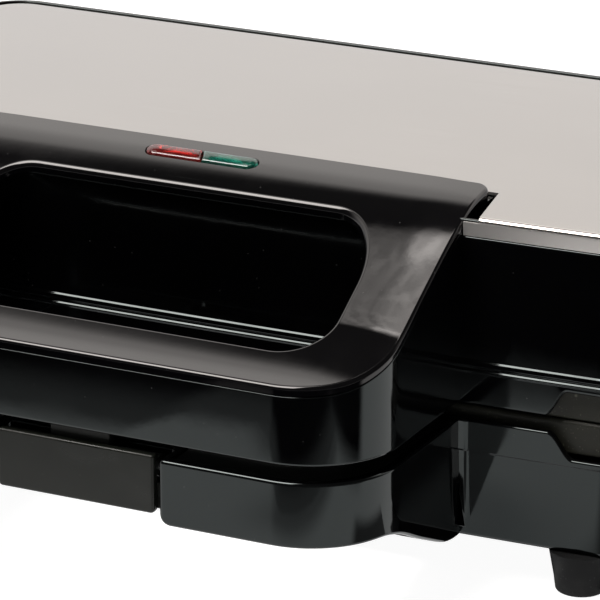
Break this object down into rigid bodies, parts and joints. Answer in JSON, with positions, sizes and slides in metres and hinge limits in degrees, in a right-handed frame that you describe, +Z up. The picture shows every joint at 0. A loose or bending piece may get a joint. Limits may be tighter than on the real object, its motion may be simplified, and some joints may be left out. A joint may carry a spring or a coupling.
{
  "type": "sandwich maker",
  "caption": "Countertop sandwich maker with a hinged lid, looped front handle, latch, steel lid cover and removable divided plates.",
  "frame": {"origin": "middle of the footprint, on the worktop", "axes": "+Z up, handle and latch at -Y, hinge at +Y, +X to the user's right"},
  "size_m": [0.2826, 0.2166, 0.1076],
  "materials": {
    "gloss_black": "piano gloss",
    "satin_black": "fine satin texture",
    "foot_rubber": "moulded matt",
    "brushed_steel": "fine brushed along the width",
    "bright_steel": "plated",
    "cast_coating": "dark non-stick coating",
    "aluminised_sheet": "mill",
    "nylon": "natural",
    "lens_red": "translucent, ribbed inside",
    "lens_green": "translucent, ribbed inside",
    "lamp_glass": "clear"
  },
  "bodies": {
    "base": {"base_housing": "gloss_black", "base_handle_cap_left": "gloss_black", "base_handle_cap_right": "gloss_black", "base_bottom_cover": "satin_black", "bottom_cover_screw_1": "bright_steel", "bottom_cover_screw_2": "bright_steel", "bottom_cover_screw_3": "bright_steel", "bottom_cover_screw_4": "bright_steel", "foot_front_left": "foot_rubber", "foot_front_right": "foot_rubber", "foot_rear_left": "foot_rubber", "foot_rear_right": "foot_rubber", "lower_plate": "cast_coating", "lower_element": "bright_steel", "lower_reflector": "aluminised_sheet", "lower_thermostat": "nylon", "lower_reflector_screw_1": "bright_steel", "lower_reflector_screw_2": "bright_steel", "lower_reflector_screw_3": "bright_steel", "lower_reflector_screw_4": "bright_steel", "terminal_block": "nylon", "cord_gland": "foot_rubber", "hinge_pin_left": "bright_steel", "hinge_pin_right": "bright_steel", "latch_pin": "bright_steel"},
    "lid": {"lid_housing": "gloss_black", "lid_cover": "brushed_steel", "handle_panel": "gloss_black", "lens_red": "lens_red", "lens_green": "lens_green", "lamp_holder": "nylon", "neon_lamp_red": "lamp_glass", "neon_lamp_green": "lamp_glass", "upper_plate": "cast_coating", "upper_element": "bright_steel", "upper_reflector": "aluminised_sheet", "upper_thermostat": "nylon", "upper_reflector_screw_1": "bright_steel", "upper_reflector_screw_2": "bright_steel", "upper_reflector_screw_3": "bright_steel", "upper_reflector_screw_4": "bright_steel"},
    "latch": {"latch": "satin_black"},
    "release_lower_left": {"release_lower_left": "satin_black"},
    "release_lower_right": {"release_lower_right": "satin_black"},
    "release_upper_left": {"release_upper_left": "satin_black"},
    "release_upper_right": {"release_upper_right": "satin_black"}
  },
  "joints": [
    {"name": "lid_hinge", "type": "hinge", "parent": "base", "child": "lid", "pos_m": [0, 0.1013, 0.049], "axis": [-1, 0, 0], "range_deg": [0, 100]},
    {"name": "latch_pivot", "type": "hinge", "parent": "base", "child": "latch", "pos_m": [-0.0015, -0.1038, 0.0435], "axis": [-1, 0, 0], "range_deg": [0, 22], "stiffness_Nm_per_rad": 0.05},
    {"name": "release_lower_left_slide", "type": "slide", "parent": "base", "child": "release_lower_left", "axis": [-1, 0, 0], "range_m": [0, 0.0045], "stiffness_N_per_m": 400},
    {"name": "release_lower_right_slide", "type": "slide", "parent": "base", "child": "release_lower_right", "axis": [1, 0, 0], "range_m": [0, 0.0045], "stiffness_N_per_m": 400},
    {"name": "release_upper_left_slide", "type": "slide", "parent": "lid", "child": "release_upper_left", "axis": [-1, 0, 0], "range_m": [0, 0.0045], "stiffness_N_per_m": 400},
    {"name": "release_upper_right_slide", "type": "slide", "parent": "lid", "child": "release_upper_right", "axis": [1, 0, 0], "range_m": [0, 0.0045], "stiffness_N_per_m": 400}
  ]
}
